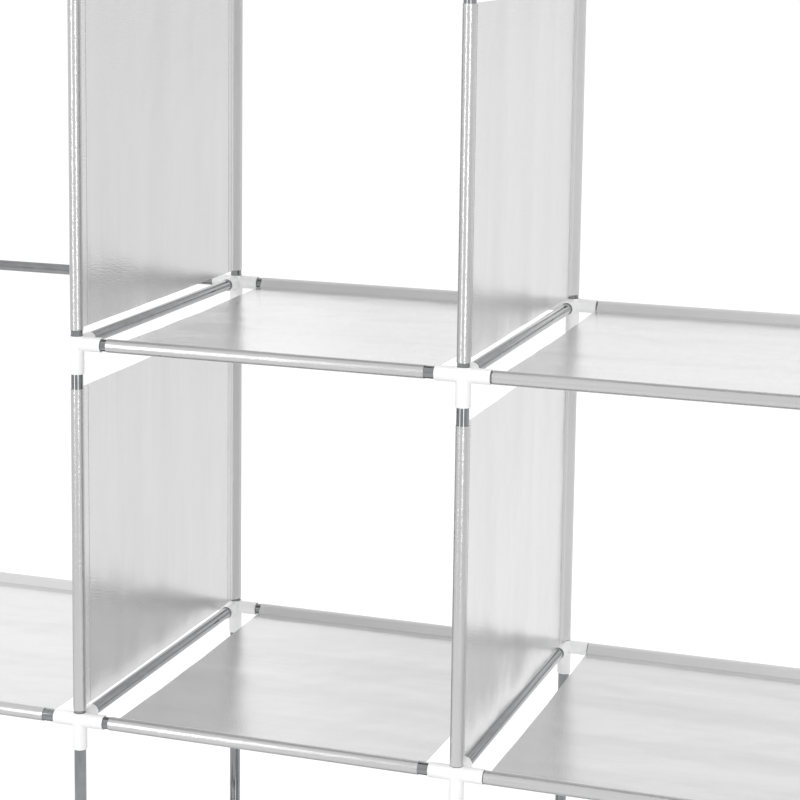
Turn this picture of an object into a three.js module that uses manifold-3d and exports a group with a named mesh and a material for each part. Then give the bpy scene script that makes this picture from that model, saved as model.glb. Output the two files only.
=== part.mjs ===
// Portable wardrobe: steel tubes pressed into plastic connectors, with cloth shelves and
// dividers threaded on the tubes. Millimetres, +Z up, +X to the right, the front faces -Y,
// and the origin is on the floor below the middle.
import * as THREE from "three";
import { mergeVertices } from "three/addons/utils/BufferGeometryUtils.js";
import Module from "manifold-3d";

// Driving dimensions of the frame
const columnPitch = 424;        // between the axes of neighbouring posts, left to right
const depthPitch = 432;         // between the axes of the front and the back posts
const levelPitch = 412;         // between the rail axes of neighbouring levels
const baseHeight = 85;          // from the floor to the lowest rail axis

// Tube and connector
const tubeRadius = 6.5;
const fitGap = 0.3;             // between pieces that touch on the real frame
const connectorWall = 1;        // plastic round a socket
const armReach = 29;            // from a connector's middle to the mouth of a horizontal arm
const lowerReach = 32.5;        // from a connector's middle to the mouth of its lower arm
const webThickness = 1.5;       // plastic between two sockets, and over the top of a post
const collarRise = 0.4;         // the rim round the post, above the horizontal arms
const cutOverrun = 2;           // how far a cut passes the face that it opens

// Foot cap at the lower end of a post
const footWall = 2.3;
const footHeight = 26;
const footChamfer = 1.5;

// Cloth of the shelves and dividers
const clothThickness = 0.6;
const hemWidth = 16;            // the doubled strip beside a sleeve, which holds the seam
const shelfSleeveReach = 10;    // from the rail axis to where the cloth closes its sleeve
const shelfSleeveDrop = 2.5;    // how far the cloth lies below the rail axis there
const shelfSag = 2;             // of the middle of a shelf below its sleeves
const shelfRipple = 0.4;        // height of the soft waves in a stretched shelf
const shelfBareEnd = 7;         // bare tube between a connector arm and a shelf's sleeve
const dividerSleeveReach = 11;
const dividerBareBottom = 6.6;  // bare tube between a connector's collar and a divider
const dividerBareTop = 12.5;    // bare tube between a divider and the arm above it
const dividerRipple = 0.6;      // height of the soft upright waves in a divider

// Hanging rod
const saddleLength = 26;        // of the clip round a side rail, along the rail
const saddleReach = 29;         // from the side rail's axis to the mouth of the rod's socket

// Counts and lists
const facets = 12;              // sides of a tube, a socket and a connector arm
const sleeveFacets = 8;         // sides of the bend of the cloth round a tube
const sheetSteps = 14;          // steps across a sheet that sags and waves
const waveCount = 3;            // soft waves from the front to the back of a sheet
const postLines = ["left_end", "left_inner", "right_inner", "right_end"];
const columns = ["left", "centre", "right"];
const levels = ["base", "lower", "middle", "upper", "top"];
const dividedLines = ["left_inner", "right_inner"];
const dividedLevels = ["lower", "middle", "upper"];   // levels with dividers standing above
const bayColumn = "left";
const bayLines = ["left_end", "left_inner"];          // posts on each side of the hanging bay
const bayLevels = ["middle", "upper"];                // levels that the bay passes in front

// Worked out from the values above
const half = 0.5;
const boreRadius = tubeRadius + fitGap;
const connectorRadius = boreRadius + connectorWall;
const footRadius = tubeRadius + footWall;
const socketEnd = boreRadius + webThickness;            // blind end of a socket
const tubeEnd = socketEnd + fitGap;                     // end of the tube in that socket
const lastLine = postLines.length - 1;
const lineX = (index) => (index - lastLine * half) * columnPitch;
const postX = (line) => lineX(postLines.indexOf(line));
const rowY = (row) => (row === "front" ? -depthPitch : depthPitch) * half;
const levelZ = (level) => baseHeight + levels.indexOf(level) * levelPitch;
const postTop = levelZ("top") + connectorRadius - webThickness - fitGap;

const steel = new THREE.MeshStandardMaterial({ color: 0x8d9093, roughness: 0.25, metalness: 1 });
const plastic = new THREE.MeshStandardMaterial({ color: 0xf5f5f3, roughness: 0.4, metalness: 0 });
const cloth = new THREE.MeshStandardMaterial({ color: 0xc9cbcc, roughness: 0.35, metalness: 0.2 });

const wasm = await Module();
wasm.setup();

// A closed geometry as a solid for cutting and joining
function solidOf(geometry) {
  geometry.deleteAttribute("normal");
  geometry.deleteAttribute("uv");
  const merged = mergeVertices(geometry);
  const vertProperties = merged.attributes.position.array;
  const triVerts = Uint32Array.from(merged.index.array);
  return new wasm.Manifold(new wasm.Mesh({ numProp: 3, vertProperties, triVerts }));
}

function geometryOf(solid) {
  const mesh = solid.getMesh();
  const geometry = new THREE.BufferGeometry();
  geometry.setAttribute("position", new THREE.BufferAttribute(mesh.vertProperties, 3));
  geometry.setIndex(new THREE.BufferAttribute(mesh.triVerts, 1));
  geometry.computeVertexNormals();
  return geometry;
}

// A round bar with its flats square to the axes, from one point of its axis to the other
function bar(radius, start, end) {
  const along = end.clone().sub(start);
  const turnToFlat = Math.PI / facets;
  const geometry = new THREE.CylinderGeometry(
    radius, radius, along.length(), facets, 1, false, turnToFlat, 2 * Math.PI);
  const middle = start.clone().lerp(end, half);
  const up = new THREE.Vector3(0, 1, 0);
  geometry.applyQuaternion(new THREE.Quaternion().setFromUnitVectors(up, along.normalize()));
  geometry.translate(middle.x, middle.y, middle.z);
  return geometry;
}

// Outside radius whose flats lie at the given radius
const acrossFlats = (radius) => radius / Math.cos(Math.PI / facets);

function barSolid(radius, start, end) {
  return solidOf(bar(radius, start, end));
}

// One connector's plastic, round the point where its tubes meet
function connectorBody(middle, directions) {
  const outside = acrossFlats(connectorRadius);
  const below = middle.clone().setZ(middle.z - lowerReach);
  const above = middle.clone().setZ(middle.z + connectorRadius + collarRise);
  let body = barSolid(outside, below, above);
  for (const direction of directions) {
    body = body.add(barSolid(outside, middle, middle.clone().addScaledVector(direction, armReach)));
  }
  return body;
}

// The bore for the post and the blind socket for the side rail
function connectorCuts(middle, depthDirection, isTop) {
  const below = middle.clone().setZ(middle.z - lowerReach - cutOverrun);
  const openTop = connectorRadius + collarRise + cutOverrun;
  const blindTop = connectorRadius - webThickness;
  const above = middle.clone().setZ(middle.z + (isTop ? blindTop : openTop));
  const socketStart = middle.clone().addScaledVector(depthDirection, socketEnd);
  const socketMouth = middle.clone().addScaledVector(depthDirection, armReach + cutOverrun);
  return barSolid(boreRadius, below, above).add(barSolid(boreRadius, socketStart, socketMouth));
}

// A row of connectors and the cross rails pressed into them
function beam(row, level, first, last) {
  const depthDirection = new THREE.Vector3(0, row === "front" ? 1 : -1, 0);
  const middleOf = (index) => new THREE.Vector3(lineX(index), rowY(row), levelZ(level));
  let body = null;
  let cuts = null;
  for (let index = first; index <= last; index += 1) {
    const directions = [depthDirection];
    if (index > first) directions.push(new THREE.Vector3(-1, 0, 0));
    if (index < last) directions.push(new THREE.Vector3(1, 0, 0));
    const connector = connectorBody(middleOf(index), directions);
    const cut = connectorCuts(middleOf(index), depthDirection, level === "top");
    body = body ? body.add(connector) : connector;
    cuts = cuts ? cuts.add(cut) : cut;
  }
  if (last > first) body = body.add(barSolid(tubeRadius, middleOf(first), middleOf(last)));
  return geometryOf(body.subtract(cuts));
}

// A post with the cap that it stands on
function post() {
  const footFlats = acrossFlats(footRadius);
  const profile = [
    [0, 0],
    [footFlats - footChamfer, 0],
    [footFlats, footChamfer],
    [footFlats, footHeight],
    [tubeRadius, footHeight],
    [tubeRadius, postTop],
    [0, postTop],
  ].map(([radius, height]) => new THREE.Vector2(radius, height));
  const geometry = new THREE.LatheGeometry(profile, facets, Math.PI / facets, 2 * Math.PI);
  geometry.rotateX(Math.PI * half);
  return geometryOf(solidOf(geometry));
}

function sideRail(line, level) {
  const start = new THREE.Vector3(postX(line), rowY("front") + tubeEnd, levelZ(level));
  const end = new THREE.Vector3(postX(line), rowY("back") - tubeEnd, levelZ(level));
  return bar(tubeRadius, start, end);
}

// The bend of cloth round a tube at the origin: corners of a line that keeps clear of the
// radius, between the lines to the upper and the lower end of the sleeve
function sleeveBend(radius, upperPoint, lowerPoint) {
  const leave = (point, side) => point.angle() + side * Math.acos(radius / point.length());
  const first = leave(upperPoint, 1);
  const last = leave(lowerPoint, -1);
  const fullTurn = 2 * Math.PI;
  const sweep = ((last - first) % fullTurn + fullTurn) % fullTurn;
  const step = sweep / sleeveFacets;
  const corner = radius / Math.cos(step * half);
  return Array.from({ length: sleeveFacets }, (_, index) => {
    const angle = first + step * (index + half);
    return new THREE.Vector2(corner * Math.cos(angle), corner * Math.sin(angle));
  });
}

// Heights of a stretched sheet above its hems, at equal steps between them
function sheetHeights(sag, ripple) {
  return Array.from({ length: sheetSteps - 1 }, (_, index) => {
    const share = (index + 1) / sheetSteps;
    const swell = Math.sin(Math.PI * share);
    return { share, height: swell * (ripple * Math.sin(2 * Math.PI * waveCount * share) - sag) };
  });
}

// Section of a panel across its two tubes: a sleeve round each, and the sheet between
function panelSection(sleeveReach, sleeveDrop, sag, ripple) {
  const innerRadius = tubeRadius + fitGap;
  const outerRadius = innerRadius + clothThickness;
  const closing = new THREE.Vector2(sleeveReach, -sleeveDrop);
  const upperEnd = new THREE.Vector2(sleeveReach, clothThickness - sleeveDrop);
  const lowerEnd = new THREE.Vector2(sleeveReach, -clothThickness - sleeveDrop);
  const sheetHalf = clothThickness * half;
  const hemEnd = sleeveReach + hemWidth;
  const span = depthPitch - 2 * hemEnd;
  const edge = (side) => [
    new THREE.Vector2(sleeveReach, side * clothThickness - sleeveDrop),
    new THREE.Vector2(hemEnd, side * clothThickness - sleeveDrop),
    new THREE.Vector2(hemEnd, side * sheetHalf - sleeveDrop),
    ...sheetHeights(sag, ripple).map(({ share, height }) => new THREE.Vector2(
      hemEnd + span * share, side * sheetHalf - sleeveDrop + height)),
    new THREE.Vector2(depthPitch - hemEnd, side * sheetHalf - sleeveDrop),
    new THREE.Vector2(depthPitch - hemEnd, side * clothThickness - sleeveDrop),
    new THREE.Vector2(depthPitch - sleeveReach, side * clothThickness - sleeveDrop),
  ];
  const mirror = (points) => points
    .map((point) => new THREE.Vector2(depthPitch - point.x, point.y)).reverse();
  const frontOutside = sleeveBend(outerRadius, upperEnd, lowerEnd);
  const frontInside = [...sleeveBend(innerRadius, closing, closing), closing];
  const shape = new THREE.Shape([
    ...frontOutside,
    ...edge(-1),
    ...mirror(frontOutside),
    ...edge(1).reverse(),
  ]);
  shape.holes = [new THREE.Path(frontInside), new THREE.Path(mirror(frontInside))];
  return shape;
}

// A shelf lies on a front and a back rail; its section runs along the rails
function shelf(column, level) {
  const start = lineX(columns.indexOf(column)) + armReach + shelfBareEnd;
  const length = columnPitch - 2 * (armReach + shelfBareEnd);
  const section = panelSection(shelfSleeveReach, shelfSleeveDrop, shelfSag, shelfRipple);
  const geometry = new THREE.ExtrudeGeometry(section, { depth: length, bevelEnabled: false });
  geometry.applyMatrix4(new THREE.Matrix4().makeBasis(
    new THREE.Vector3(0, 1, 0), new THREE.Vector3(0, 0, 1), new THREE.Vector3(1, 0, 0)));
  geometry.translate(start, rowY("front"), levelZ(level));
  return geometry;
}

// A divider hangs upright between a front and a back post
function divider(line, level) {
  const bottom = levelZ(level) + connectorRadius + collarRise + dividerBareBottom;
  const top = levelZ(level) + levelPitch - lowerReach - dividerBareTop;
  const section = panelSection(dividerSleeveReach, 0, 0, dividerRipple);
  const geometry = new THREE.ExtrudeGeometry(section, { depth: top - bottom, bevelEnabled: false });
  geometry.applyMatrix4(new THREE.Matrix4().makeBasis(
    new THREE.Vector3(0, 1, 0), new THREE.Vector3(-1, 0, 0), new THREE.Vector3(0, 0, 1)));
  geometry.translate(postX(line), rowY("front"), bottom);
  return geometry;
}

// The clip that carries one end of the hanging rod on a side rail
function rodSaddle(line, side) {
  const middle = new THREE.Vector3(postX(line), 0, levelZ("top"));
  const along = (offset) => middle.clone().setY(offset);
  const toRod = (offset) => middle.clone().setX(middle.x + side * offset);
  const outside = acrossFlats(connectorRadius);
  const clip = barSolid(outside, along(-saddleLength * half), along(saddleLength * half));
  const arm = barSolid(outside, middle, toRod(saddleReach));
  const railBore = barSolid(boreRadius, along(-saddleLength), along(saddleLength));
  const rodSocket = barSolid(boreRadius, toRod(socketEnd), toRod(saddleReach + cutOverrun));
  return geometryOf(clip.add(arm).subtract(railBore).subtract(rodSocket));
}

function hangingRod() {
  const [left, right] = bayLines.map((line) => new THREE.Vector3(postX(line), 0, levelZ("top")));
  return bar(tubeRadius, left.setX(left.x + tubeEnd), right.setX(right.x - tubeEnd));
}

const group = new THREE.Group();

function place(name, geometry, material) {
  const mesh = new THREE.Mesh(geometry, material);
  mesh.name = name;
  group.add(mesh);
  return mesh;
}

for (const row of ["front", "back"]) {
  for (const line of postLines) {
    place(`${row}_post_${line}`, post(), steel).position.set(postX(line), rowY(row), 0);
  }
}

for (const level of levels) {
  const bayPasses = bayLevels.includes(level);
  place(`${level}_back_beam`, beam("back", level, 0, lastLine), plastic);
  place(`${level}_front_beam`, beam("front", level, bayPasses ? 1 : 0, lastLine), plastic);
  if (bayPasses) place(`${level}_front_corner`, beam("front", level, 0, 0), plastic);
  for (const line of postLines) {
    place(`${level}_side_rail_${line}`, sideRail(line, level), steel);
  }
}

for (const level of levels.slice(0, -1)) {
  for (const column of columns) {
    const isBay = column === bayColumn && bayLevels.includes(level);
    if (!isBay) place(`${level}_${column}_shelf`, shelf(column, level), cloth);
  }
}

for (const level of dividedLevels) {
  for (const line of dividedLines) {
    place(`${level}_divider_${line}`, divider(line, level), cloth);
  }
}

place("hanging_rod", hangingRod(), steel);
bayLines.forEach((line, index) => {
  place(`rod_saddle_${line}`, rodSaddle(line, index === 0 ? 1 : -1), plastic);
});

export default group;
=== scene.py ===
# Dresses the portable wardrobe on its CAD frame: round steel tubes, moulded connectors,
# sewn cloth panels with their stitches, a pale floor, soft light and the photo's camera.
import math

import bmesh
import bpy
import numpy as np
from mathutils import Euler, Matrix, Vector, noise


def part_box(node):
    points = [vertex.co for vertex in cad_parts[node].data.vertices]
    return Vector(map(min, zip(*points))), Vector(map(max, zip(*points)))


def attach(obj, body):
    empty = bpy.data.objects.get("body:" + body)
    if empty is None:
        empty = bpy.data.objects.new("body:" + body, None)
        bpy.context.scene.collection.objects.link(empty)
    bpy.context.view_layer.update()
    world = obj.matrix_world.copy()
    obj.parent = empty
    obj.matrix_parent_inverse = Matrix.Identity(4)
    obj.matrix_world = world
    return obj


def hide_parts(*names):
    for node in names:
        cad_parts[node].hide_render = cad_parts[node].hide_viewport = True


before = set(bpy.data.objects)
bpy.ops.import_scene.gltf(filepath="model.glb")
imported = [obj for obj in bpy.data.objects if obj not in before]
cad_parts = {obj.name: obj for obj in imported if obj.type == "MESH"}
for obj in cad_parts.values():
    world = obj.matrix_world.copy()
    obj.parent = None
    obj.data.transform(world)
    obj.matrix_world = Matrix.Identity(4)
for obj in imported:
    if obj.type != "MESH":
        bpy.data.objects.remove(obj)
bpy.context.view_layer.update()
print("frame loaded:", len(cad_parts), "CAD nodes")

# Where the frame's lines run, read from the CAD nodes
rows = ["front", "back"]
postLines = ["left_end", "left_inner", "right_inner", "right_end"]
columns = ["left", "centre", "right"]
levels = ["base", "lower", "middle", "upper", "top"]
bayLevels = ["middle", "upper"]  # levels that the hanging bay passes in front
dividedLevels = ["lower", "middle", "upper"]
dividedLines = ["left_inner", "right_inner"]


def boxMiddle(node):
    low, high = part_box(node)
    return (low + high) / 2


postX = [boxMiddle(f"front_post_{line}").x for line in postLines]
rowY = {row: boxMiddle(f"{row}_post_left_end").y for row in rows}
levelZ = {level: boxMiddle(f"{level}_side_rail_left_end").z for level in levels}
depthPitch = rowY["back"] - rowY["front"]


def isBay(level, row, column):
    return column == "left" and row == "front" and level in bayLevels


def beamNode(level, row, index):
    isCorner = isBay(level, row, "left") and index == 0
    return f"{level}_{row}_corner" if isCorner else f"{level}_{row}_beam"


def hubPoint(level, row, index):
    return Vector((postX[index], rowY[row], levelZ[level]))


# Short ways to add a node and to join its sockets, for materials and Geometry Nodes alike
def pickSocket(sockets, name):
    return next(socket for socket in sockets if socket.enabled and socket.name == name)


def addNode(tree, kind, inputs=None, **settings):
    node = tree.nodes.new(kind)
    for name, value in settings.items():
        setattr(node, name, value)
    for name, value in (inputs or {}).items():
        target = node.inputs[name] if isinstance(name, int) else pickSocket(node.inputs, name)
        if isinstance(value, bpy.types.NodeSocket):
            tree.links.new(value, target)
        else:
            target.default_value = value
    return node


def outputOf(node, name):
    return pickSocket(node.outputs, name)


def calculate(tree, operation, *values):
    kind = "ShaderNodeMath"
    return outputOf(addNode(tree, kind, dict(enumerate(values)), operation=operation), "Value")


evenly = (1, 1, 1)  # the stretch of a pattern that isn't drawn out
noiseRange = (0.3, 0.7)  # most values of a noise lie in here


def noiseOn(tree, coordinates, stretch, scale, detail=2.0):
    placed = addNode(tree, "ShaderNodeMapping", {"Vector": coordinates, "Scale": stretch})
    pattern = addNode(tree, "ShaderNodeTexNoise", {
        "Vector": outputOf(placed, "Vector"), "Scale": scale, "Detail": detail})
    return outputOf(pattern, "Fac")


def rangeOf(tree, value, toLow, toHigh, given=noiseRange):
    return outputOf(addNode(tree, "ShaderNodeMapRange", {
        "Value": value, "From Min": given[0], "From Max": given[1],
        "To Min": toLow, "To Max": toHigh}), "Result")


def colourBetween(tree, factor, dark, light):
    ramp = addNode(tree, "ShaderNodeValToRGB", {"Fac": factor})
    for element, place, colour in zip(ramp.color_ramp.elements, noiseRange, (dark, light)):
        element.position = place
        element.color = (*colour, 1)
    return outputOf(ramp, "Color")


def bumpOf(tree, height, strength, distance, under=None):
    inputs = {"Height": height, "Strength": strength, "Distance": distance}
    if under is not None:
        inputs["Normal"] = under
    return outputOf(addNode(tree, "ShaderNodeBump", inputs), "Normal")


def newMaterial(name):
    material = bpy.data.materials.new(name)
    material.use_nodes = True
    tree = material.node_tree
    tree.nodes.clear()
    surface = addNode(tree, "ShaderNodeBsdfPrincipled")
    addNode(tree, "ShaderNodeOutputMaterial", {"Surface": outputOf(surface, "BSDF")})
    return material, tree, surface


def connect(tree, surface, **values):
    names = {"colour": "Base Color", "roughness": "Roughness", "normal": "Normal"}
    for key, value in values.items():
        tree.links.new(value, surface.inputs[names[key]])


# Materials. A look holds the darkest and lightest colour, the roughness where the surface is
# smooth and where it is dull, the patterns' scales per metre, and the relief in metres.
steelLook = {"dark": (0.19, 0.194, 0.2), "light": (0.33, 0.334, 0.34),
             "smooth": 0.04, "dull": 0.09, "lineScale": 1400, "lineStretch": (1, 1, 0.012),
             "scuffScale": 160, "scuffStretch": (1, 1, 0.4), "scuffShare": 0.35,
             "strength": 0.25, "relief": 0.00002}


def steelMaterial():
    material, tree, surface = newMaterial("drawnSteel")
    grain = outputOf(addNode(tree, "ShaderNodeAttribute", attribute_name="grain"), "Vector")
    lines = noiseOn(tree, grain, steelLook["lineStretch"], steelLook["lineScale"], detail=3)
    scuffs = noiseOn(tree, grain, steelLook["scuffStretch"], steelLook["scuffScale"], detail=4)
    share = steelLook["scuffShare"]
    tone = calculate(tree, "MULTIPLY_ADD", scuffs, share,
                     calculate(tree, "MULTIPLY", lines, 1 - share))
    connect(tree, surface,
            colour=colourBetween(tree, tone, steelLook["dark"], steelLook["light"]),
            roughness=rangeOf(tree, scuffs, steelLook["smooth"], steelLook["dull"]),
            normal=bumpOf(tree, lines, steelLook["strength"], steelLook["relief"]))
    surface.inputs["Metallic"].default_value = 1
    return material


plasticLook = {"dark": (0.9, 0.905, 0.905), "light": (0.95, 0.95, 0.945),
               "smooth": 0.34, "dull": 0.46, "cloudScale": 70, "poreScale": 2600,
               "strength": 0.3, "relief": 0.00002}


def plasticMaterial():
    material, tree, surface = newMaterial("mouldedPlastic")
    place = outputOf(addNode(tree, "ShaderNodeTexCoord"), "Object")
    cloud = noiseOn(tree, place, evenly, plasticLook["cloudScale"], detail=3)
    pores = noiseOn(tree, place, evenly, plasticLook["poreScale"])  # a spark-worn mould's skin
    connect(tree, surface,
            colour=colourBetween(tree, cloud, plasticLook["dark"], plasticLook["light"]),
            roughness=rangeOf(tree, pores, plasticLook["smooth"], plasticLook["dull"]),
            normal=bumpOf(tree, pores, plasticLook["strength"], plasticLook["relief"]))
    return material


footLook = {"dark": (0.78, 0.785, 0.79), "light": (0.86, 0.86, 0.855),
            "smooth": 0.5, "dull": 0.68, "cloudScale": 90, "poreScale": 1800,
            "wearScale": 400, "wearStretch": (1, 1, 0.3), "strength": 0.4, "relief": 0.00004}


def footMaterial():
    material, tree, surface = newMaterial("softFootPlastic")
    place = outputOf(addNode(tree, "ShaderNodeTexCoord"), "Object")
    cloud = noiseOn(tree, place, evenly, footLook["cloudScale"], detail=3)
    pores = noiseOn(tree, place, evenly, footLook["poreScale"])
    wear = noiseOn(tree, place, footLook["wearStretch"], footLook["wearScale"], detail=4)
    connect(tree, surface,
            colour=colourBetween(tree, cloud, footLook["dark"], footLook["light"]),
            roughness=rangeOf(tree, wear, footLook["smooth"], footLook["dull"]),
            normal=bumpOf(tree, pores, footLook["strength"], footLook["relief"]))
    return material


# The cloth's finishes: its sheet, and copies of it with painted light and shade for its front
# sleeves, its doubled strips and its back sleeves
filmLook = {"dark": (0.62, 0.62, 0.62), "light": (0.7, 0.7, 0.7), "metallic": 0.75,
            "smooth": 0.11, "dull": 0.2, "coat": 0.25, "grain": 0.00038}
# The front sleeves' colour is darker than the sheet's: painted shade. Their coarser grain is the
# film's relief.
shadedSleeveLook = {"dark": (0.49, 0.49, 0.49), "light": (0.58, 0.58, 0.58), "metallic": 0.6,
              "smooth": 0.13, "dull": 0.22, "coat": 0.25, "grain": 0.00055}
# The doubled strips' colour is lighter than the sheet's: painted light.
litStripLook = {"dark": (0.68, 0.68, 0.68), "light": (0.76, 0.76, 0.76), "metallic": 0.7,
             "smooth": 0.22, "dull": 0.32, "coat": 0.2, "grain": 0.0002}
# The back sleeves: a matte copy of the film that paints flat shade, with its reflections taken out.
flatShadeLook = {"dark": (0.68, 0.68, 0.68), "light": (0.74, 0.74, 0.74), "metallic": 0.3,
            "smooth": 0.5, "dull": 0.62, "coat": 0, "grain": 0.0001}

# Patterns in the cloth: scale per metre, how much a mark is drawn out along the sleeves
# (1 is not at all, 0.02 is fifty times) and the noise's detail
clothPatterns = {"bands": (34, 0.07, 3), "streaks": (240, 0.02, 2), "fibres": (2100, 0.45, 4),
                 "cloud": (9, 0.5, 3), "slack": (11, 0.8, 2), "pebbles": (480, 1, 3)}
clothTone = {"bands": 0.25, "streaks": 0.25, "fibres": 0.2, "cloud": 0.3}
clothRelief = {"bands": (0.5, 0.0002), "streaks": (0.5, 0.00004), "slack": (0.5, 0.004),
               "bonds": (0.45, 0.0001), "fibres": (0.3, 0.00005)}  # strength and metres
grainStrength = 0.5
bondsPerMetre, bondSpread = 600, 0.7
coatRoughness = 0.07


# Silver film on non-woven cloth: pressed bond dots, pebbled film over fibres, slack places that
# bend reflections. The UV map holds metres along the cloth and across it.
def filmMaterial(name, look):
    material, tree, surface = newMaterial(name)
    cloth = outputOf(addNode(tree, "ShaderNodeTexCoord"), "UV")
    found = {kind: noiseOn(tree, cloth, (1, drawn, 1), scale, detail)
             for kind, (scale, drawn, detail) in clothPatterns.items()}
    tone = 0
    for kind, share in clothTone.items():
        tone = calculate(tree, "MULTIPLY_ADD", found[kind], share, tone)
    bonds = addNode(tree, "ShaderNodeTexVoronoi", {
        "Vector": cloth, "Scale": bondsPerMetre, "Randomness": bondSpread})
    under = None
    for kind in ("bands", "streaks", "slack"):
        under = bumpOf(tree, found[kind], *clothRelief[kind], under)
    under = bumpOf(tree, found["pebbles"], grainStrength, look["grain"], under)
    pressed = bumpOf(tree, outputOf(bonds, "Distance"), *clothRelief["bonds"], under)
    connect(tree, surface,
            colour=colourBetween(tree, tone, look["dark"], look["light"]),
            roughness=rangeOf(tree, found["fibres"], look["smooth"], look["dull"]),
            normal=bumpOf(tree, found["fibres"], *clothRelief["fibres"], pressed))
    surface.inputs["Metallic"].default_value = look["metallic"]
    surface.inputs["Coat Weight"].default_value = look["coat"]
    surface.inputs["Coat Roughness"].default_value = coatRoughness
    tree.links.new(pressed, surface.inputs["Coat Normal"])
    return material


threadLook = {"dark": (0.3, 0.302, 0.305), "light": (0.44, 0.44, 0.438), "smooth": 0.55,
              "dull": 0.75, "twistScale": 5200, "strength": 0.4, "relief": 0.0001, "sheen": 0.25}


def threadMaterial():
    material, tree, surface = newMaterial("sewingThread")
    place = outputOf(addNode(tree, "ShaderNodeTexCoord"), "Object")
    twist = noiseOn(tree, place, evenly, threadLook["twistScale"])
    connect(tree, surface,
            colour=colourBetween(tree, twist, threadLook["dark"], threadLook["light"]),
            roughness=rangeOf(tree, twist, threadLook["smooth"], threadLook["dull"]),
            normal=bumpOf(tree, twist, threadLook["strength"], threadLook["relief"]))
    surface.inputs["Sheen Weight"].default_value = threadLook["sheen"]
    return material


steel = steelMaterial()
plastic = plasticMaterial()
footPlastic = footMaterial()
film = filmMaterial("silverFilmCloth", filmLook)
shadedSleeveFilm = filmMaterial("shadedSleeveFilmCloth", shadedSleeveLook)
litStripFilm = filmMaterial("litStripFilmCloth", litStripLook)
flatShadeFilm = filmMaterial("flatShadeFilmCloth", flatShadeLook)
thread = threadMaterial()
print("materials made")


# Edges that turn by more degrees than this stay sharp
sharpFrom = {"tube": 38, "moulding": 30, "cloth": 50, "thread": 60}
weldDistance = 1e-6


# A mesh becomes a piece of the object: it rides the frame and stands for CAD nodes
def addPiece(name, mesh, nodes, crease, material=None):
    if material is not None:
        mesh.materials.clear()
        mesh.materials.append(material)
    mesh.shade_smooth()
    mesh.set_sharp_from_angle(angle=math.radians(crease))
    piece = bpy.data.objects.new(name, mesh)
    bpy.context.scene.collection.objects.link(piece)
    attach(piece, "root")
    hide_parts(*nodes)
    return piece


def meshOf(name, corners, faces):
    mesh = bpy.data.meshes.new(name)
    mesh.from_pydata([tuple(map(float, corner)) for corner in corners], [], faces)
    body = bmesh.new()
    body.from_mesh(mesh)
    bmesh.ops.remove_doubles(body, verts=body.verts, dist=weldDistance)
    bmesh.ops.recalc_face_normals(body, faces=body.faces)
    body.to_mesh(mesh)
    body.free()
    return mesh


# Geometry Nodes: a new tree with named inputs, and the plain mesh that it makes
def newTree(name, inputs, takesGeometry):
    tree = bpy.data.node_groups.new(name, "GeometryNodeTree")
    if takesGeometry:
        tree.interface.new_socket("Geometry", in_out="INPUT", socket_type="NodeSocketGeometry")
    tree.interface.new_socket("Geometry", in_out="OUTPUT", socket_type="NodeSocketGeometry")
    for title, kind, value in inputs:
        socket = tree.interface.new_socket(title, in_out="INPUT", socket_type=kind)
        if value is not None:
            socket.default_value = value
    return tree, addNode(tree, "NodeGroupInput")


def closeTree(tree, geometry, material):
    whole = addNode(tree, "GeometryNodeRealizeInstances", {"Geometry": geometry})
    dressed = addNode(tree, "GeometryNodeSetMaterial", {
        "Geometry": outputOf(whole, "Geometry"), "Material": material})
    addNode(tree, "NodeGroupOutput", {"Geometry": outputOf(dressed, "Geometry")})


def grow(tree, start, **values):
    carrier = bpy.data.objects.new("carrier", start)
    bpy.context.scene.collection.objects.link(carrier)
    modifier = carrier.modifiers.new(tree.name, "NODES")
    modifier.node_group = tree
    for item in tree.interface.items_tree:
        if item.in_out == "INPUT" and item.name in values:
            modifier[item.identifier] = values[item.name]
    graph = bpy.context.evaluated_depsgraph_get()
    grown = bpy.data.meshes.new_from_object(
        carrier.evaluated_get(graph), preserve_all_data_layers=True, depsgraph=graph)
    bpy.data.objects.remove(carrier)
    return grown


# Steel tubes: one tree turns a length into a tube with softened ends, standing on the origin
tubeSize = {"Radius": 0.0065, "Rounding": 0.0005, "Sides": 40}
tubeGap = 0.0003  # from a tube's end to the blind end of its socket
socketEnd = 0.0083  # from the middle of a connector to the blind end of a socket
tubeEnd = socketEnd + tubeGap


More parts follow.
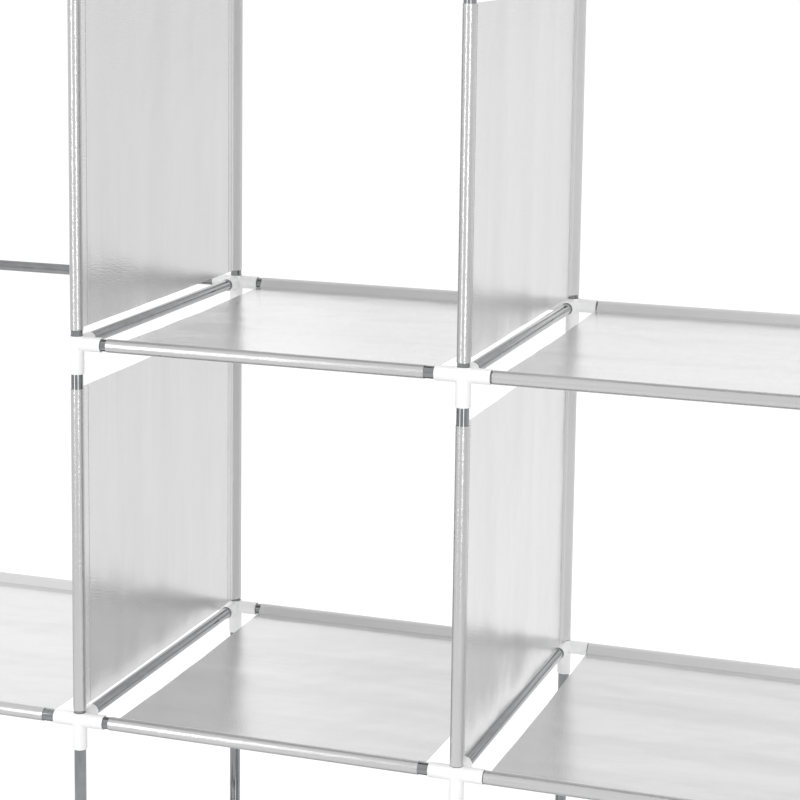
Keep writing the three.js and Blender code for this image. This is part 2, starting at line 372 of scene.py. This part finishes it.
def tubeTree():
    tree, given = newTree("steelTube", [
        ("Length", "NodeSocketFloat", 1), ("Radius", "NodeSocketFloat", tubeSize["Radius"]),
        ("Rounding", "NodeSocketFloat", tubeSize["Rounding"]),
        ("Sides", "NodeSocketInt", tubeSize["Sides"]),
        ("Finish", "NodeSocketMaterial", None)], False)
    length, radius = outputOf(given, "Length"), outputOf(given, "Radius")
    rounding = outputOf(given, "Rounding")
    endRings = 4  # rings that round each end
    spine = addNode(tree, "GeometryNodeMeshLine", {"Count": 2 * endRings, "Offset": (0, 0, 1)})
    index = outputOf(addNode(tree, "GeometryNodeInputIndex"), "Index")
    step = calculate(tree, "MINIMUM", index, calculate(tree, "SUBTRACT", 2 * endRings - 1, index))
    share = calculate(tree, "DIVIDE", step, endRings - 1)  # 0 at the end face, 1 on the side
    inward = calculate(tree, "MULTIPLY", rounding, calculate(tree, "POWER", share, 2))
    isFar = calculate(tree, "GREATER_THAN", index, endRings - 0.5)
    far = calculate(tree, "SUBTRACT", length, inward)
    height = calculate(tree, "MULTIPLY_ADD", isFar, calculate(tree, "SUBTRACT", far, inward), inward)
    placed = addNode(tree, "GeometryNodeSetPosition", {
        "Geometry": outputOf(spine, "Mesh"),
        "Position": outputOf(addNode(tree, "ShaderNodeCombineXYZ", {"Z": height}), "Vector")})
    line = addNode(tree, "GeometryNodeMeshToCurve", {"Mesh": outputOf(placed, "Geometry")})
    taken = calculate(tree, "POWER", calculate(tree, "SUBTRACT", 1, share), 2)
    ringRadius = calculate(tree, "SUBTRACT", radius, calculate(tree, "MULTIPLY", rounding, taken))
    ring = addNode(tree, "GeometryNodeCurvePrimitiveCircle", {
        "Resolution": outputOf(given, "Sides"), "Radius": 1.0})
    skin = addNode(tree, "GeometryNodeCurveToMesh", {
        "Curve": outputOf(line, "Curve"), "Profile Curve": outputOf(ring, "Curve"),
        "Scale": ringRadius, "Fill Caps": True})
    grained = addNode(tree, "GeometryNodeStoreNamedAttribute", {
        "Geometry": outputOf(skin, "Mesh"), "Name": "grain",
        "Value": outputOf(addNode(tree, "GeometryNodeInputPosition"), "Position")},
        data_type="FLOAT_VECTOR", domain="POINT")
    closeTree(tree, outputOf(grained, "Geometry"), outputOf(given, "Finish"))
    return tree


tubes = tubeTree()
tubeMeshes = {}


def addTube(name, start, end, nodes):
    length = round((end - start).length, 6)
    if length not in tubeMeshes:
        tubeMeshes[length] = grow(tubes, bpy.data.meshes.new("start"),
                                  Length=length, Finish=steel, **tubeSize)
    mesh = tubeMeshes[length].copy()
    mesh.name = name
    turn = (end - start).to_track_quat("Z", "X").to_matrix().to_4x4()
    mesh.transform(Matrix.Translation(start) @ turn)
    return addPiece(name, mesh, nodes, sharpFrom["tube"])


def railName(level, row, column):
    return f"tube_{level}_{row}_{column}"


toRight, toBack, upward = Vector((1, 0, 0)), Vector((0, 1, 0)), Vector((0, 0, 1))
collarFloor = 0.0047  # a post stands this far below the middle of a connector
footFloor = 0.003  # a leg stands in its foot this far above the floor
for level in levels:
    for row in rows:
        for index, column in enumerate(columns):
            if not isBay(level, row, column):
                addTube(railName(level, row, column),
                        hubPoint(level, row, index) + toRight * tubeEnd,
                        hubPoint(level, row, index + 1) - toRight * tubeEnd,
                        [beamNode(level, row, index + 1)])
    for index, line in enumerate(postLines):
        addTube(f"tube_{level}_side_{line}", hubPoint(level, "front", index) + toBack * tubeEnd,
                hubPoint(level, "back", index) - toBack * tubeEnd, [f"{level}_side_rail_{line}"])
for row in rows:
    for index, line in enumerate(postLines):
        foot = Vector((postX[index], rowY[row], footFloor))
        addTube(f"tube_leg_{row}_{line}", foot,
                hubPoint("base", row, index) - upward * tubeEnd, [f"{row}_post_{line}"])
        for below, above in zip(levels, levels[1:]):
            addTube(f"tube_post_{below}_{row}_{line}",
                    hubPoint(below, row, index) - upward * collarFloor,
                    hubPoint(above, row, index) - upward * tubeEnd, [f"{row}_post_{line}"])
rodStart, rodEnd = (Vector((x, 0, levelZ["top"])) for x in postX[:2])
addTube("tube_hanging_rod", rodStart + toRight * tubeEnd, rodEnd - toRight * tubeEnd,
        ["hanging_rod"])


# Connectors: round arms that grow out of a cube's faces and blend where they meet
connectorSize = {"radius": 0.0078, "reach": 0.029, "lowerReach": 0.0325, "bore": 0.0066,
                 "blend": 0.0009, "collarReach": 0.0082, "mouthRounding": 0.0004,
                 "boreRounding": 0.0003, "cells": 10, "armRings": (0.06, 0.16, 0.32, 0.6, 1.0),
                 "capRings": (0.6, 0.3), "roundingSteps": 4,
                 "settled": 0.015}  # beyond this an arm is a plain cylinder


# Distance from the hub's middle to the blended surface of its arms, along each direction
def hubReach(directions, armAxes):
    radius, blend = connectorSize["radius"], connectorSize["blend"]
    found = None
    for axis in range(3):
        share = directions[:, axis]
        inArm = np.where(share > 0, (axis, 1) in armAxes, (axis, -1) in armAxes)
        sine = np.sqrt(np.clip(1 - np.where(inArm, share, 0) ** 2, 1e-6, 1))
        reach = radius / sine
        if found is None:
            found = reach
            continue
        near = np.clip(blend - np.abs(found - reach), 0, None) / blend  # 1 where two arms meet
        found = np.maximum(found, reach) + near * near * blend / 4
    return found


def onHub(points, armAxes):
    directions = points / np.linalg.norm(points, axis=1)[:, None]
    return directions * hubReach(directions, armAxes)[:, None]


# Adds the mesh of one arm from the rim of its cube face to the blind end of its socket
def addArm(corners, faces, axis, side, arm, armAxes):
    cells, radius = connectorSize["cells"], connectorSize["radius"]
    turns = np.linspace(0, 2 * math.pi, 4 * cells, endpoint=False)
    across = np.stack([np.cos(turns), np.sin(turns)], 1)
    edge = radius * np.abs(across).max(1)  # where this arm leaves its neighbours
    settled = min(connectorSize["settled"], arm["reach"] - arm["rounding"])

    def ringAt(height, ringRadius, onto=False):
        points = np.zeros((len(turns), 3))
        points[:, axis] = side * height
        points[:, [(axis + 1) % 3, (axis + 2) % 3]] = across * np.reshape(ringRadius, (-1, 1))
        return onHub(points, armAxes) if onto else points

    rings = [ringAt(edge, radius, True)]
    rings += [ringAt(edge + (settled - edge) * share, radius, True)
              for share in connectorSize["armRings"]]
    quarter = np.linspace(0, math.pi / 2, connectorSize["roundingSteps"] + 1)
    soft = arm["rounding"]
    rings += [ringAt(arm["reach"] - soft + soft * math.sin(angle),
                     radius - soft + soft * math.cos(angle)) for angle in quarter]
    if arm["bore"]:
        lip, bore = connectorSize["boreRounding"], connectorSize["bore"]
        rings += [ringAt(arm["reach"] - lip + lip * math.cos(angle),
                         bore + lip - lip * math.sin(angle)) for angle in quarter]
        rings.append(ringAt(arm["floor"], bore))
    else:
        rings += [ringAt(arm["reach"], radius * share) for share in connectorSize["capRings"]]
    count, first = len(turns), len(corners)
    for ring in rings:
        corners.extend(ring)
    for ring in range(len(rings) - 1):
        for step in range(count):
            a, b = first + ring * count + step, first + ring * count + (step + 1) % count
            faces.append((a, b, b + count, a + count))
    last = first + (len(rings) - 1) * count
    if arm["through"]:
        return last
    centre = np.zeros(3)
    centre[axis] = side * (arm["floor"] if arm["bore"] else arm["reach"])
    corners.append(centre)
    faces.extend((last + step, last + (step + 1) % count, len(corners) - 1) for step in range(count))
    return last


# arms: {(axis, side): {"reach", "bore", "floor", "through", "rounding"}}
def connectorMesh(name, arms):
    corners, faces, throughEnds = [], [], []
    cells = connectorSize["cells"]
    warp = np.tan(np.linspace(-math.pi / 4, math.pi / 4, cells + 1))
    for axis in range(3):
        for side in (-1, 1):
            if (axis, side) in arms:
                arm = arms[(axis, side)]
                last = addArm(corners, faces, axis, side, arm, arms)
                if arm["through"]:
                    throughEnds.append(last)
                continue
            first = len(corners)
            grid = np.zeros(((cells + 1) ** 2, 3))
            grid[:, axis] = side
            grid[:, (axis + 1) % 3] = np.repeat(warp, cells + 1)
            grid[:, (axis + 2) % 3] = np.tile(warp, cells + 1)
            corners.extend(onHub(grid, arms))
            for i in range(cells):
                for j in range(cells):
                    a = first + i * (cells + 1) + j
                    faces.append((a, a + 1, a + cells + 2, a + cells + 1))
    if throughEnds:  # the clip's bore runs from one mouth to the other
        count = 4 * cells
        for step in range(count):
            following = (step + 1) % count
            faces.append((throughEnds[0] + step, throughEnds[0] + following,
                          throughEnds[1] + following, throughEnds[1] + step))
    return meshOf(name, corners, faces)


def socketArm(reach=None, **changes):
    return {"reach": reach or connectorSize["reach"], "bore": True, "floor": socketEnd,
            "through": False, "rounding": connectorSize["mouthRounding"], **changes}


connectorMeshes = {}


def addConnector(name, place, sides, depthSide, isTop, nodes):
    key = (sides, depthSide, isTop)
    if key not in connectorMeshes:
        arms = {(0, side): socketArm() for side in sides}
        arms[(1, depthSide)] = socketArm()
        arms[(2, -1)] = socketArm(connectorSize["lowerReach"])
        arms[(2, 1)] = socketArm(connectorSize["collarReach"], floor=-collarFloor - tubeGap,
                                 bore=not isTop)
        connectorMeshes[key] = connectorMesh("connector", arms)
    mesh = connectorMeshes[key].copy()
    mesh.name = name
    mesh.transform(Matrix.Translation(place))
    return addPiece(name, mesh, nodes, sharpFrom["moulding"], plastic)


for level in levels:
    for row in rows:
        for index, line in enumerate(postLines):
            sides = tuple(side for side, column in ((-1, index - 1), (1, index))
                          if 0 <= column < len(columns) and not isBay(level, row, columns[column]))
            addConnector(f"connector_{level}_{row}_{line}", hubPoint(level, row, index), sides,
                         1 if row == "front" else -1, level == "top",
                         [beamNode(level, row, index)])
# A rod saddle is a clip round a side rail, with a socket for the rod
saddleSize = {"halfLength": 0.013, "boreEnd": 0.004}
for place, side, line in ((rodStart, 1, "left_end"), (rodEnd, -1, "left_inner")):
    clip = {(1, end): socketArm(saddleSize["halfLength"], through=True, floor=saddleSize["boreEnd"])
            for end in (-1, 1)}
    clip[(0, side)] = socketArm()
    clipMesh = connectorMesh("saddle", clip)
    clipMesh.transform(Matrix.Translation(place))
    addPiece(f"saddle_{line}", clipMesh, [f"rod_saddle_{line}"],
             sharpFrom["moulding"], plastic)
print("connectors made:", len(connectorMeshes), "kinds")


# Foot caps: a turned profile with shallow grip rings
footSize = {"radius": 0.0088, "height": 0.026, "bore": 0.0068, "boreFloor": 0.0026,
            "soleRounding": 0.0015, "soleHollow": 0.0006, "soleRim": 0.0032, "soleSlope": 0.0004,
            "rings": 4, "ringDepth": 0.0004, "ringPitch": 0.0026, "ringSlope": 0.0004,
            "ringWidth": 0.0006, "lip": 0.0006, "soleSteps": 5, "lipSteps": 3, "turns": 48}


def footMesh():
    size = footSize
    radius, height, soft, lip = (size[key] for key in ("radius", "height", "soleRounding", "lip"))
    rim = radius - size["soleRim"]
    profile = [(0, size["soleHollow"]), (rim, size["soleHollow"]), (rim + size["soleSlope"], 0)]
    profile += [(radius - soft + soft * math.sin(a), soft - soft * math.cos(a))
                for a in np.linspace(0, math.pi / 2, size["soleSteps"] + 1)]
    inner, slope, width = radius - size["ringDepth"], size["ringSlope"], size["ringWidth"]
    for ring in range(size["rings"]):  # grooves on the upper half of the wall
        low = height / 2 + ring * size["ringPitch"]
        profile += [(radius, low), (inner, low + slope), (inner, low + slope + width),
                    (radius, low + 2 * slope + width)]
    profile += [(radius - lip + lip * math.cos(a), height - lip + lip * math.sin(a))
                for a in np.linspace(0, math.pi / 2, size["lipSteps"] + 1)]
    profile += [(size["bore"], height), (size["bore"], size["boreFloor"]), (0, size["boreFloor"])]
    turns = np.linspace(0, 2 * math.pi, size["turns"], endpoint=False)
    corners = [(r * math.cos(t), r * math.sin(t), z) for r, z in profile for t in turns]
    count = len(turns)
    faces = [(i * count + j, i * count + (j + 1) % count,
              (i + 1) * count + (j + 1) % count, (i + 1) * count + j)
             for i in range(len(profile) - 1) for j in range(count)]
    return meshOf("foot", corners, faces)


footTemplate = footMesh()
for row in rows:
    for index, line in enumerate(postLines):
        cap = footTemplate.copy()
        cap.transform(Matrix.Translation((postX[index], rowY[row], 0)))
        addPiece(f"foot_{row}_{line}", cap, [f"{row}_post_{line}"],
                 sharpFrom["moulding"], footPlastic)
print("feet made")


# Cloth panels: one strip, folded round a front and a back tube and sewn to itself
clothSize = {"thickness": 0.00045, "sleeveRadius": 0.0069, "layerGap": 0.0005, "hem": 0.016,
             "hemSteps": 4, "sleeveSteps": 5, "bendSteps": 20, "sheetSteps": 84,
             "acrossStep": 0.008, "waves": 3,
             "patternShift": 1.37}  # metres between the patterns of two panels
# Creases: share, noise per metre of depth and of width, and the shift and start of each panel
creaseWaves = ((1, 26, 3.2, 7.3, 0), (0.5, 9, 11, 3.1, 40))
# sleeveReach: from a tube's middle to where its sleeve closes, drop: how far below that middle;
# bare ends: the free tube beside a connector, or the free post above a level and below the next
shelfSize = {"sleeveReach": 0.01, "drop": 0.0025, "sag": 0.002, "ripple": 0.0003,
             "wrinkle": 0.0004, "bareEnd": 0.009}
shelfSlid = {("middle", "centre"): -0.0022, ("middle", "right"): -0.007,
             ("lower", "centre"): -0.0022, ("lower", "right"): -0.008,
             ("lower", "left"): -0.0045}  # along the rails
dividerSize = {"sleeveReach": 0.011, "drop": 0.0, "sag": 0.0, "ripple": -0.0004,
               "wrinkle": 0.0005, "bareBottom": 0.0148, "bareTop": 0.045}
dividerSlid = {("lower", "left_inner"): -0.0034, ("lower", "right_inner"): -0.006,
               ("middle", "right_inner"): -0.002}  # along the posts


# The cloth's middle line across its two tubes: depth from the front tube, and height
def clothLine(size):
    radius, gap = clothSize["sleeveRadius"], clothSize["layerGap"]
    upper = np.array([size["sleeveReach"], -size["drop"]])
    lower = upper - [0, gap]

    def leave(point, side):
        return math.atan2(point[1], point[0]) + side * math.acos(radius / np.linalg.norm(point))

    top, bottom = leave(upper, 1), leave(lower, -1) + 2 * math.pi
    bend = [(radius * math.cos(a), radius * math.sin(a))
            for a in np.linspace(bottom, top, clothSize["bendSteps"] + 1)]
    hemEnd = size["sleeveReach"] + clothSize["hem"]

    def straight(start, end, steps):
        return [tuple(np.array(start) + (np.array(end) - start) * s)
                for s in np.linspace(0, 1, steps, endpoint=False)]

    hemSteps, sleeveSteps = clothSize["hemSteps"], clothSize["sleeveSteps"]
    front = straight((hemEnd, lower[1]), lower, hemSteps) + straight(lower, bend[0], sleeveSteps)
    front += bend[:-1] + straight(bend[-1], upper, sleeveSteps)
    front += straight(upper, (hemEnd, upper[1]), hemSteps)
    span = depthPitch - 2 * hemEnd
    sheet = []
    for share in np.linspace(0, 1, clothSize["sheetSteps"] + 1):
        wave = size["ripple"] * math.sin(2 * math.pi * clothSize["waves"] * share)
        height = math.sin(math.pi * share) * (wave - size["sag"]) - size["drop"]
        sheet.append((hemEnd + span * share, height))
    back = [(depthPitch - depth, height) for depth, height in reversed(front)]
    line = np.array(front + sheet + back)
    isSheet = np.array([False] * len(front) + [True] * len(sheet) + [False] * len(back))
    return line, isSheet, hemEnd, span


def creaseAt(depth, across, number):
    return sum(share * noise.noise(Vector((depth * alongDepth, across * alongWidth,
                                           number * shift + start)))
               for share, alongDepth, alongWidth, shift, start in creaseWaves)


# A panel: the cloth's line carried along its tubes and made thick, with its finishes and seams
def addPanel(name, size, corner, upAxis, widthAxis, width, node, number):
    line, isSheet, hemEnd, span = clothLine(size)
    along = np.concatenate([[0], np.cumsum(np.linalg.norm(np.diff(line, axis=0), axis=1))])
    steps = round(width / clothSize["acrossStep"])
    across = np.linspace(0, width, steps + 1)
    corners = []
    for (depth, height), loose in zip(line, isSheet):
        play = math.sin(math.pi * min(max((depth - hemEnd) / span, 0), 1)) if loose else 0
        for w in across:
            lift = height + size["wrinkle"] * math.sqrt(play) * creaseAt(depth, w, number)
            corners.append(corner + toBack * depth + upAxis * lift + widthAxis * w)
    count = steps + 1
    faces = [(i * count + j, i * count + j + 1, (i + 1) * count + j + 1, (i + 1) * count + j)
             for i in range(len(line) - 1) for j in range(steps)]
    mesh = bpy.data.meshes.new(name)
    mesh.from_pydata([tuple(c) for c in corners], [], faces)
    # The front sleeves get painted shade, the doubled strips painted light, and the back sleeves
    # painted flat shade
    for finish in (shadedSleeveFilm, litStripFilm, film, flatShadeFilm):
        mesh.materials.append(finish)
    reached = [size["sleeveReach"], hemEnd, depthPitch - hemEnd, depthPitch - size["sleeveReach"]]
    zone = np.searchsorted(reached, (line[:-1, 0] + line[1:, 0]) / 2)
    finishes = np.array([0, 1, 2, 1, 3])[zone]  # from the front sleeve to the back one
    mesh.polygons.foreach_set("material_index", np.repeat(finishes, steps))
    layer = mesh.uv_layers.new(name="UVMap")
    spots = np.zeros(len(mesh.loops), int)
    mesh.loops.foreach_get("vertex_index", spots)
    shift = number * clothSize["patternShift"]
    places = np.stack([along[spots // count] + shift, across[spots % count]], 1)
    layer.data.foreach_set("uv", places.ravel())
    raw = bpy.data.objects.new("strip", mesh)
    bpy.context.scene.collection.objects.link(raw)
    thick = raw.modifiers.new("cloth", "SOLIDIFY")
    thick.thickness, thick.offset = clothSize["thickness"], 0
    graph = bpy.context.evaluated_depsgraph_get()
    solid = bpy.data.meshes.new_from_object(
        raw.evaluated_get(graph), preserve_all_data_layers=True, depsgraph=graph)
    bpy.data.objects.remove(raw)
    solid.name = name
    panel = addPiece(name, solid, [node], sharpFrom["cloth"])
    stitches = addStitches(f"stitches_{name}", size, corner, upAxis, widthAxis, width, node, number)
    return panel


# Stitches: short thread capsules set along the four seam lines of a panel
stitchSize = {"Pitch": 0.003, "Stitch": 0.0026, "Thread Radius": 0.00036,
              "Shortest": 0.86, "Longest": 1.08}  # shares of a stitch's size
stitchFacets = {"Segments": 6, "Rings": 4}
seamPlace = 0.014  # from where a sleeve closes to the stitches that hold it
seamMargin = 0.003  # from a panel's edge to the seam's first stitch


def stitchTree():
    tree, given = newTree("seamStitches", [
        *((title, "NodeSocketFloat", value) for title, value in stitchSize.items()),
        ("Seed", "NodeSocketInt", 1), ("Finish", "NodeSocketMaterial", None)], True)
    line = addNode(tree, "GeometryNodeMeshToCurve", {"Mesh": outputOf(given, "Geometry")})
    spaced = addNode(tree, "GeometryNodeResampleCurve", {
        "Curve": outputOf(line, "Curve")}, mode="LENGTH")
    tree.links.new(outputOf(given, "Pitch"), pickSocket(spaced.inputs, "Length"))
    capsule = addNode(tree, "GeometryNodeMeshUVSphere", {**stitchFacets, "Radius": 1.0})
    size = addNode(tree, "ShaderNodeCombineXYZ", {
        "X": outputOf(given, "Thread Radius"), "Y": outputOf(given, "Thread Radius"),
        "Z": calculate(tree, "MULTIPLY", outputOf(given, "Stitch"), 0.5)})
    turned = addNode(tree, "FunctionNodeAlignRotationToVector", {
        "Vector": outputOf(addNode(tree, "GeometryNodeInputTangent"), "Tangent")}, axis="Z")
    uneven = addNode(tree, "FunctionNodeRandomValue", {
        "Min": outputOf(given, "Shortest"), "Max": outputOf(given, "Longest"),
        "Seed": outputOf(given, "Seed")}, data_type="FLOAT")
    scaled = addNode(tree, "ShaderNodeVectorMath", {
        0: outputOf(size, "Vector"), 1: outputOf(uneven, "Value")}, operation="MULTIPLY")
    sewn = addNode(tree, "GeometryNodeInstanceOnPoints", {
        "Points": outputOf(spaced, "Curve"), "Instance": outputOf(capsule, "Mesh"),
        "Rotation": outputOf(turned, "Rotation"), "Scale": outputOf(scaled, "Vector")})
    closeTree(tree, outputOf(sewn, "Instances"), outputOf(given, "Finish"))
    return tree


stitching = stitchTree()


def addStitches(name, size, corner, upAxis, widthAxis, width, node, number):
    thickness = clothSize["thickness"]
    above = -size["drop"] + thickness / 2
    below = -size["drop"] - clothSize["layerGap"] - thickness / 2
    front = size["sleeveReach"] + seamPlace
    ends = []
    for depth in (front, depthPitch - front):
        for height in (above, below):
            start = corner + toBack * depth + upAxis * height
            ends += [start + widthAxis * seamMargin, start + widthAxis * (width - seamMargin)]
    lines = bpy.data.meshes.new("seams")
    lines.from_pydata([tuple(e) for e in ends], [(i, i + 1) for i in range(0, len(ends), 2)], [])
    sewn = grow(stitching, lines, Seed=number, Finish=thread, **stitchSize)
    sewn.name = name
    return addPiece(name, sewn, [node], sharpFrom["thread"])


number = 0
for level in levels[:-1]:
    for index, column in enumerate(columns):
        if isBay(level, "front", column):
            continue
        number += 1
        margin = connectorSize["reach"] + shelfSize["bareEnd"]
        width = (postX[index + 1] - postX[index]) - 2 * margin
        slid = shelfSlid.get((level, column), 0)
        corner = hubPoint(level, "front", index) + toRight * (margin + slid)
        addPanel(f"shelf_{level}_{column}", shelfSize, corner, upward, toRight, width,
                 f"{level}_{column}_shelf", number)
for level in dividedLevels:
    above = levels[levels.index(level) + 1]
    for line in dividedLines:
        number += 1
        start = dividerSize["bareBottom"] + dividerSlid.get((level, line), 0)
        corner = hubPoint(level, "front", postLines.index(line)) + upward * start
        height = levelZ[above] - levelZ[level] - dividerSize["bareBottom"] - dividerSize["bareTop"]
        addPanel(f"divider_{level}_{line}", dividerSize, corner, toRight, upward, height,
                 f"{level}_divider_{line}",
                 number)
print("cloth panels made:", number)


# Stage: a pale floor that turns white to the camera and to reflections, and keeps shadows
def seenDirectly(tree):
    path = addNode(tree, "ShaderNodeLightPath")
    seen = calculate(tree, "MAXIMUM", outputOf(path, "Is Camera Ray"),
                     outputOf(path, "Is Glossy Ray"))
    return calculate(tree, "MAXIMUM", seen, outputOf(path, "Is Transmission Ray"))


stageLook = {"floorSide": 60, "floorColour": (0.8, 0.8, 0.8, 1), "lift": 0.27,
             "growsOver": (-0.4, 1.2), "fadesOver": (1.2, 2.6)}  # in depth, and round the origin


def addFloor():
    half = stageLook["floorSide"] / 2
    mesh = bpy.data.meshes.new("floor")
    mesh.from_pydata([(-half, -half, 0), (half, -half, 0), (half, half, 0), (-half, half, 0)],
                     [], [(0, 1, 2, 3)])
    floor = bpy.data.objects.new("floor", mesh)
    bpy.context.scene.collection.objects.link(floor)
    material = bpy.data.materials.new("studioFloor")
    material.use_nodes = True
    tree = material.node_tree
    tree.nodes.clear()
    paper = addNode(tree, "ShaderNodeBsdfDiffuse", {"Color": stageLook["floorColour"]})
    place = addNode(tree, "ShaderNodeTexCoord")
    spot = addNode(tree, "ShaderNodeSeparateXYZ", {"Vector": outputOf(place, "Object")})
    behind = rangeOf(tree, outputOf(spot, "Y"), 0, stageLook["lift"], stageLook["growsOver"])
    away = addNode(tree, "ShaderNodeVectorMath", {0: outputOf(place, "Object")}, operation="LENGTH")
    near = rangeOf(tree, outputOf(away, "Value"), stageLook["lift"], 0, stageLook["fadesOver"])
    lift = calculate(tree, "MAXIMUM", behind, near)  # the paper is white near and behind
    glow = addNode(tree, "ShaderNodeEmission", {
        "Strength": calculate(tree, "MULTIPLY", seenDirectly(tree), lift)})
    both = addNode(tree, "ShaderNodeAddShader", {
        0: outputOf(paper, "BSDF"), 1: outputOf(glow, "Emission")})
    addNode(tree, "ShaderNodeOutputMaterial", {"Surface": outputOf(both, "Shader")})
    mesh.materials.append(material)


def setWorld():
    world = bpy.data.worlds.new("studio")
    bpy.context.scene.world = world
    world.use_nodes = True
    tree = world.node_tree
    tree.nodes.clear()
    sky = addNode(tree, "ShaderNodeBackground", {"Color": (1, 1, 1, 1), "Strength": 1.0})
    addNode(tree, "ShaderNodeOutputWorld", {"Surface": outputOf(sky, "Background")})


addFloor()
setWorld()

# Lamps: a tall box on the left and a tower on the right whose reflections draw the lines on
# posts and rails, two panels behind that the shelves reflect, a fill from the front and a
# soft box overhead. Brightness is the light that a lamp's face gives off.
wattsPerArea = 4  # what a square metre of a face of brightness 1 takes
lamps = {
    "leftBox": {"place": (-1.25, -2.4, 1.35), "aim": (0, -0.2, 1.35), "size": (0.43, 2.1),
                "brightness": 3.3, "inGloss": True, "inDiffuse": False},
    "rightTower": {"place": (1.1, -1.65, 0.98), "aim": (-0.1, -0.2, 0.98), "size": (0.3, 1.24),
                   "brightness": 3.6, "inGloss": True, "inDiffuse": False},
    "frontFill": {"place": (1.0, -7.1, 3.3), "aim": (0, -0.1, 0.9), "size": (2.6, 2.6),
                  "brightness": 3.4, "inGloss": False, "inDiffuse": True},
    "backPanel": {"place": (-3.1, 4.6, 2.0), "aim": (-3.1, 0, 2.0), "size": (2.8, 1.7),
                  "brightness": 0.2, "inGloss": True, "inDiffuse": True},
    "lowBackPanel": {"place": (0.05, 4.6, 1.72), "aim": (0.05, 0, 1.72), "size": (4.1, 0.6),
                     "brightness": 0.2, "inGloss": True, "inDiffuse": True},
    "overhead": {"place": (0, -0.3, 3.7), "aim": (0, 0, 0), "size": (3.4, 2.8),
                 "brightness": 0.4, "inGloss": False, "inDiffuse": True},
}
for name, lamp in lamps.items():
    light = bpy.data.lights.new(name, "AREA")
    light.shape = "RECTANGLE"
    light.size, light.size_y = lamp["size"]
    light.energy = wattsPerArea * light.size * light.size_y * lamp["brightness"]
    holder = bpy.data.objects.new(name, light)
    holder.location = lamp["place"]
    aim = Vector(lamp["aim"]) - Vector(lamp["place"])
    holder.rotation_euler = aim.to_track_quat("-Z", "Y").to_euler()
    holder.visible_camera = False
    holder.visible_glossy = lamp["inGloss"]
    holder.visible_diffuse = lamp["inDiffuse"]
    bpy.context.scene.collection.objects.link(holder)

# Camera of the photograph, solved from the frame's own lines
view = {"place": (0.855, -2.3337, 1.367), "turn": (81.396, -0.561, 19.908),
        "lens": 102.73, "sensor": 36, "shift": (0.0625, -0.1875), "clip": (0.05, 200)}
camera = bpy.data.objects.new("camera", bpy.data.cameras.new("camera"))
camera.location = view["place"]
camera.rotation_euler = Euler([math.radians(angle) for angle in view["turn"]])
camera.data.sensor_width, camera.data.lens = view["sensor"], view["lens"]
camera.data.shift_x, camera.data.shift_y = view["shift"]
camera.data.clip_start, camera.data.clip_end = view["clip"]
bpy.context.scene.collection.objects.link(camera)
bpy.context.scene.camera = camera
bpy.context.scene.view_settings.view_transform = "Standard"
print("stage, lamps and camera set")
